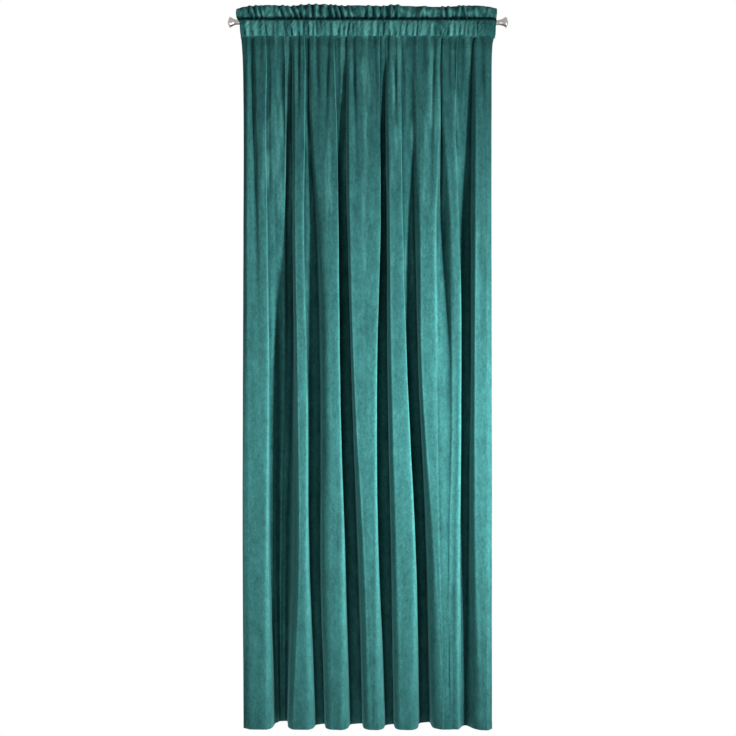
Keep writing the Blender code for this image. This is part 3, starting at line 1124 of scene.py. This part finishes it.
    def build(self, effects: EffectLibrary) -> bpy.types.Object:
        """Build the sheet and dress it.

        Args:
            effects: the shared effects.

        Returns:
            The velvet.
        """
        body = self.body()
        whole = np.concatenate([body, self.heading(body[-1])])
        whole = self.crumple(whole)
        self.seam_row = len(body) - 1
        opened_and_painted_light = self.pile_open_and_painted_light(whole)
        brushed_and_highlit = self.brushed_and_highlit(whole)
        self.grid = whole
        hemmed = self.hemmed(whole)
        extra_rows = hemmed.shape[0] - whole.shape[0]
        extra_columns = (hemmed.shape[1] - whole.shape[1]) // 2
        margin = ((extra_rows, 0), (extra_columns, extra_columns))
        made = add_mesh("velvet_sheet", hemmed.reshape(-1, 3), grid_faces(*hemmed.shape[:2]),
                        self.finish.material(effects))
        for name, values in (("pile_open_and_painted_light", opened_and_painted_light), ("pile_brushed_and_highlit", brushed_and_highlit)):
            attribute = made.data.attributes.new(name, "FLOAT", "POINT")
            whole_values = np.pad(values, margin, mode="edge")
            attribute.data.foreach_set("value", whole_values.ravel().astype(np.float32))
        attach(made, "root")
        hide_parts(self.node)
        LOG.info("%s: %d faces", made.name, len(made.data.polygons))
        return made


@dataclass
class Stitching:
    """Lines of machine stitches that hold the pocket, the hem and the side hems."""

    finish: ThreadFinish
    pitch: float = 0.0042
    length: float = 0.0032
    radius: float = 0.00032
    sides: int = 6
    # Share of the way along a stitch and of its radius
    profile: tuple = ((0.0, 0.35), (0.22, 0.95), (0.5, 1.0), (0.78, 0.95), (1.0, 0.35))

    def along(self, line: np.ndarray) -> np.ndarray:
        """Ends of the stitches along a line.

        Args:
            line: points of the line.

        Returns:
            Start and end point of every stitch.
        """
        run = np.concatenate([[0.0], np.cumsum(np.linalg.norm(np.diff(line, axis=0), axis=1))])
        starts = np.arange(self.pitch, run[-1] - self.pitch, self.pitch)
        ends = [np.column_stack([np.interp(place, run, line[:, k]) for k in range(3)])
                for place in (starts, starts + self.length)]
        return np.stack(ends, axis=1)

    def build(self, panel: VelvetPanel, effects: EffectLibrary) -> bpy.types.Object:
        """Build all the stitches as one mesh.

        Args:
            panel: the velvet, already built.
            effects: the shared effects.

        Returns:
            The stitching.
        """
        ends = np.concatenate([self.along(line) for line in panel.stitch_lines()])
        direction = ends[:, 1] - ends[:, 0]
        direction /= np.linalg.norm(direction, axis=1, keepdims=True)
        across = np.cross(direction, np.array([0.0, -1.0, 0.0]))
        across /= np.maximum(np.linalg.norm(across, axis=1, keepdims=True), 1e-9)
        lift = np.cross(direction, across)
        verts, faces = [], []
        turns = np.linspace(0, 2 * np.pi, self.sides, endpoint=False)
        for start, end, side, rise in zip(ends[:, 0], ends[:, 1], across, lift):
            base = len(verts)
            for way, share in self.profile:
                centre = start + (end - start) * way
                for turn in turns:
                    spoke = side * math.cos(turn) + rise * math.sin(turn)
                    verts.append(centre + spoke * self.radius * share)
            rings = len(self.profile)
            for ring in range(rings - 1):
                for k in range(self.sides):
                    here = base + ring * self.sides + k
                    after = base + ring * self.sides + (k + 1) % self.sides
                    faces.append((here, after, after + self.sides, here + self.sides))
            faces.append(tuple(range(base + self.sides - 1, base - 1, -1)))
            faces.append(tuple(range(base + (rings - 1) * self.sides, base + rings * self.sides)))
        made = add_mesh("stitching", np.array(verts), faces, self.finish.material(effects))
        made.data.validate()
        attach(made, "root")
        LOG.info("%s: %d stitches", made.name, len(ends))
        return made


# The metal

def lathe_x(name: str, outline: np.ndarray, steps: int,
            material: bpy.types.Material) -> bpy.types.Object:
    """Turn a closed outline about the X axis.

    Args:
        name: the object's name.
        outline: points (x, radius); a radius of 0 is a pole.
        steps: sides of the turned shape.
        material: its finish.

    Returns:
        The turned object.
    """
    turns = np.linspace(0.0, 2 * np.pi, steps, endpoint=False)
    verts: list = []
    rings: list = []
    for x, radius in outline:
        if radius <= 0.0:
            rings.append([len(verts)])
            verts.append((x, 0.0, 0.0))
            continue
        rings.append(list(range(len(verts), len(verts) + steps)))
        verts.extend((x, radius * math.cos(a), radius * math.sin(a)) for a in turns)
    faces: list = []
    for here, there in zip(rings, rings[1:]):
        for k in range(steps):
            after = (k + 1) % steps
            corners = [here[k % len(here)], here[after % len(here)],
                       there[after % len(there)], there[k % len(there)]]
            faces.append(list(dict.fromkeys(corners)))
    return add_mesh(name, np.array(verts), faces, material)


@dataclass
class CurtainRod:
    """The plain tube inside the pocket."""

    finish: NickelFinish
    node: str = "curtain_rod"
    wall: float = 0.001
    ease: float = 0.0003
    steps: int = 72

    def build(self, effects: EffectLibrary) -> bpy.types.Object:
        """Build the tube with eased ends.

        Args:
            effects: the shared effects.

        Returns:
            The rod.
        """
        low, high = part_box(self.node)
        outer = (high.z - low.z) / 2
        inner = outer - self.wall
        ease = self.ease
        outline = np.array([
            (low.x, inner), (low.x, outer - ease), (low.x + ease, outer),
            (high.x - ease, outer), (high.x, outer - ease), (high.x, inner), (low.x, inner)])
        made = lathe_x("rod_tube", outline, self.steps, self.finish.material(effects))
        made.data.flip_normals()
        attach(made, "root")
        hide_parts(self.node)
        LOG.info("%s: %.0f mm long, %.0f mm across", made.name, (high.x - low.x) / MM,
                 2 * outer / MM)
        return made


class Side(Enum):
    """Which end of the rod."""

    LEFT = -1
    RIGHT = 1


# Finial outline out from the rod's end: distance along the rod and radius, in mm
FINIAL_FLARE = (
    (4.2, 8.4), (8.0, 8.7), (14.0, 9.6), (21.0, 11.5), (27.0, 14.2), (31.5, 17.1), (34.6, 19.1),
    (36.2, 19.5), (37.7, 19.1), (38.9, 18.0),
)
FINIAL_CAP = ((38.9, 18.0), (40.6, 14.8), (43.2, 9.0), (45.2, 3.5), (45.7, 0.0))
FINIAL_COLLAR = ((-25.0, 0.0), (-25.0, 5.6), (-23.5, 6.7), (0.3, 6.7), (0.3, 8.8), (0.9, 9.45),
                 (2.0, 9.6), (3.1, 9.4), (3.8, 8.7), (4.2, 8.4))


@dataclass
class Finial:
    """A turned trumpet with the plug that holds it in the rod."""

    side: Side
    finish: NickelFinish
    steps: int = 96

    def outline(self) -> np.ndarray:
        """Draw the outline from the plug to the tip.

        Returns:
            Points (distance out from the rod's end, radius), in metres.
        """
        parts = [np.array(FINIAL_COLLAR)]
        for points in (np.array(FINIAL_FLARE), np.array(FINIAL_CAP)):
            at = np.arange(len(points))
            fine = np.linspace(0, at[-1], 5 * at[-1] + 1)
            parts.append(np.array([smooth_through(at, points[:, k], fine) for k in range(2)]).T)
        whole = np.concatenate([parts[0][:-1], parts[1], parts[2][1:]])
        whole[-1, 1] = 0.0
        return whole * MM

    def build(self, effects: EffectLibrary) -> bpy.types.Object:
        """Build the finial.

        Args:
            effects: the shared effects.

        Returns:
            The finial.
        """
        name = f"finial_{self.side.name.lower()}"
        rod_low, rod_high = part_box("curtain_rod")
        half = (rod_high.x - rod_low.x) / 2
        outline = self.outline()
        outline[:, 0] = (outline[:, 0] + half) * self.side.value
        made = lathe_x(f"{name}_turned", outline, self.steps, self.finish.material(effects))
        if self.side is Side.LEFT:
            made.data.flip_normals()
        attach(made, "root")
        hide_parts(name)
        LOG.info("%s: tip at %.0f mm", made.name, outline[-1, 0] / MM)
        return made


# The studio

def aim(thing: bpy.types.Object, target: Vector) -> None:
    """Turn a light or camera towards a point."""
    thing.rotation_euler = (target - thing.location).to_track_quat("-Z", "Y").to_euler()


@dataclass
class Studio:
    """Pale floor, white surroundings, soft lights and a level camera."""

    camera_distance: float = 3.5
    camera_height: float = -1.1955
    lens: float = 49.45
    floor_drop: float = 0.27
    floor_half: float = 2.2
    floor_front: float = -2.6
    floor_back: float = 0.6
    surround: float = 0.09

    def camera(self) -> None:
        """Level camera in front of the drape, half way up."""
        data = bpy.data.cameras.new("camera")
        data.lens = self.lens
        made = bpy.data.objects.new("camera", data)
        bpy.context.scene.collection.objects.link(made)
        made.location = (0.0, -self.camera_distance, self.camera_height)
        made.rotation_euler = (math.radians(90), 0.0, 0.0)
        bpy.context.scene.camera = made

    def light(self, name: str, place: Vector, target: Vector, power: float, size: float,
              height: float, spread: float = math.pi) -> None:
        """Add a rectangular light.

        Args:
            name: the light's name.
            place: where it is.
            target: what it points at.
            power: watts.
            size: its width.
            height: its height.
            spread: angle its beam opens to.
        """
        data = bpy.data.lights.new(name, "AREA")
        data.shape = "RECTANGLE"
        data.size = size
        data.size_y = height
        data.energy = power
        data.spread = spread
        made = bpy.data.objects.new(name, data)
        bpy.context.scene.collection.objects.link(made)
        made.location = place
        aim(made, target)

    def lights(self) -> None:
        """Key from the right front at half height, a weak broad fill, and a light for the back."""
        self.light("key", Vector((1.72, -1.32, -1.36)), Vector((-0.26, 0.0, -1.36)), 42.5, 0.25,
                   0.35, math.radians(98))
        self.light("fill", Vector((-1.1, -2.6, -1.6)), Vector((0.0, 0.0, -1.4)), 24.0, 1.6, 2.0)
        self.light("behind", Vector((-0.5, 3.2, -0.9)), Vector((0.0, 0.0, -1.3)), 55.0, 2.0, 2.0)

    def surroundings(self) -> None:
        """White to the eye, and a soft even light on the object."""
        world = bpy.data.worlds.new("white_room")
        world.use_nodes = True
        bpy.context.scene.world = world
        g = Graph(world.node_tree)
        path = g.node("ShaderNodeLightPath")
        seen = g.math("MAXIMUM", path.outputs["Is Camera Ray"], path.outputs["Is Glossy Ray"])
        strength = g.ramp(seen, 0.0, 1.0, self.surround, 1.0)
        sky = world.node_tree.nodes["Background"]
        sky.inputs["Color"].default_value = (1.0, 1.0, 1.0, 1.0)
        g.tree.links.new(strength, sky.inputs["Strength"])

    def floor(self, level: float) -> None:
        """A pale floor below the hem.

        Args:
            level: its height.
        """
        material, g, shader = new_material("pale_floor")
        place = g.node("ShaderNodeTexCoord").outputs["Object"]
        tone = g.ramp(g.noise(place, 3.0, 3.0, 0.5), 0.3, 0.7, 0.90, 0.94)
        grey = g.node("ShaderNodeCombineColor", {0: tone, 1: tone, 2: tone})
        g.tree.links.new(grey.outputs[0], shader.inputs["Base Color"])
        shader.inputs["Roughness"].default_value = 0.7
        corners = [(-self.floor_half, self.floor_front), (self.floor_half, self.floor_front),
                   (self.floor_half, self.floor_back), (-self.floor_half, self.floor_back)]
        verts = np.array([(x, y, level) for x, y in corners])
        add_mesh("floor", verts, [(0, 1, 2, 3)], material)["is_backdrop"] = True

    def build(self) -> None:
        """Set the whole studio round the object."""
        low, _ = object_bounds()
        self.camera()
        self.lights()
        self.surroundings()
        self.floor(low.z - self.floor_drop)
        scene = bpy.context.scene
        scene.view_settings.view_transform = "Standard"
        scene.view_settings.look = "None"


def main() -> None:
    """Build every piece round the frame and report it."""
    logging.basicConfig(level=logging.INFO, format="%(name)s %(message)s")
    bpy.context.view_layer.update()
    effects = EffectLibrary()
    plan = FoldPlan()
    satin = NickelFinish("satin_nickel", (0.42, 0.415, 0.40), 0.30, 0.12, 0.7)
    polished = NickelFinish("polished_nickel", (0.40, 0.385, 0.37), 0.20, 0.14, 0.3)
    panel = VelvetPanel(plan, VelvetFinish())
    sheet = panel.build(effects)
    Stitching(ThreadFinish()).build(panel, effects)
    CurtainRod(satin).build(effects)
    for side in Side:
        Finial(side, polished).build(effects)
    Studio().build()


if __name__ == "__main__":
    main()
